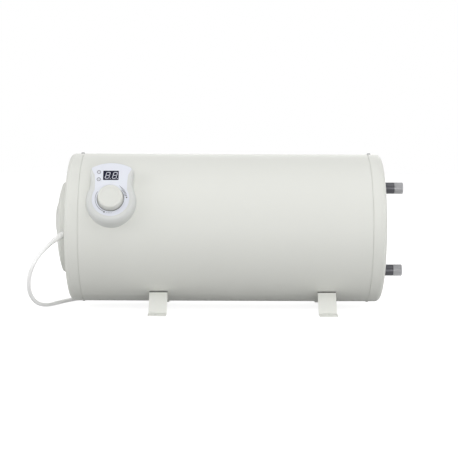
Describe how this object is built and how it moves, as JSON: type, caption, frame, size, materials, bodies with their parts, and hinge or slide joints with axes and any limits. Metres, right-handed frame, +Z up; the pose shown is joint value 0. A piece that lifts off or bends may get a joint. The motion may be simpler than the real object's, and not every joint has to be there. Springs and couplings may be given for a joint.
{
  "type": "caravan water heater",
  "caption": "Small cylindrical electric water heater for a caravan, lying on strap feet, with a control panel, a round knob and a free mains cord.",
  "frame": {"origin": "floor plane, centre of the four floor holes in the feet", "axes": "+X along the tank towards the water pipes, -Y towards the user, +Z up"},
  "size_m": [0.6245, 0.3544, 0.261],
  "materials": {
    "cream_paint": "satin",
    "zinc_steel": "satin",
    "stainless": "satin",
    "dark_screw": "satin",
    "cream_plastic": "satin",
    "white_plastic": "matte",
    "printed_label": "satin",
    "dark_window": "gloss",
    "lamp_plastic": "gloss",
    "circuit_board": "satin",
    "dark_plastic": "matte",
    "foam": "matte",
    "rubber_black": "matte",
    "white_flex": "satin",
    "brass": "satin",
    "magnesium": "matte"
  },
  "bodies": {
    "tank": {"outer_shell": "cream_paint", "left_end_cap": "cream_paint", "right_end_cap": "cream_paint", "left_cap_screws": "dark_screw", "right_cap_screws": "dark_screw", "left_foot": "cream_paint", "right_foot": "cream_paint", "foot_rivets": "zinc_steel", "tank_barrel": "stainless", "tank_dome_left": "stainless", "tank_dome_right": "stainless", "tank_neck": "stainless", "foam_insulation": "foam", "hot_outlet_pipe": "stainless", "cold_inlet_pipe": "stainless", "inlet_deflector": "stainless", "element_flange": "zinc_steel", "element_gasket": "rubber_black", "flange_bolts": "zinc_steel", "heating_element": "stainless", "element_terminals": "brass", "sensor_pocket": "stainless", "temperature_sensor": "brass", "anode_rod": "magnesium", "electrical_cover": "cream_plastic", "cover_screws": "dark_screw", "compartment_bracket": "zinc_steel", "bracket_screws": "zinc_steel", "terminal_block": "white_plastic", "terminal_screws": "brass", "cutout_body": "dark_plastic", "earth_stud": "brass", "element_leads": "white_flex", "link_leads": "white_flex", "supply_leads": "white_flex", "cord_clamp": "white_plastic", "clamp_screws": "zinc_steel", "cord_tail": "white_flex", "control_housing": "cream_plastic", "control_label": "printed_label", "display_window": "dark_window", "display_module": "dark_plastic", "indicator_lamps": "lamp_plastic", "control_board": "circuit_board", "board_screws": "zinc_steel", "housing_screws": "zinc_steel", "potentiometer_body": "zinc_steel", "potentiometer_nut": "zinc_steel", "control_harness": "white_flex", "harness_grommet": "rubber_black", "strain_relief": "white_flex", "mains_cord": "white_flex", "cord_coil": "white_flex", "coil_tie": "dark_plastic", "plug_body": "white_flex", "plug_pins": "brass"},
    "knob": {"control_knob": "cream_plastic", "potentiometer_shaft": "zinc_steel"},
    "button": {"reset_button": "dark_plastic"}
  },
  "joints": [
    {"name": "knob_turn", "type": "hinge", "parent": "tank", "child": "knob", "pos_m": [-0.213, -0.12664, 0.18899], "axis": [0, 0.891, -0.454], "range_deg": [0, 245]},
    {"name": "button_press", "type": "slide", "parent": "tank", "child": "button", "axis": [1, 0, 0], "range_m": [0, 0.002], "stiffness_N_per_m": 1000, "springref_m": -0.001}
  ]
}
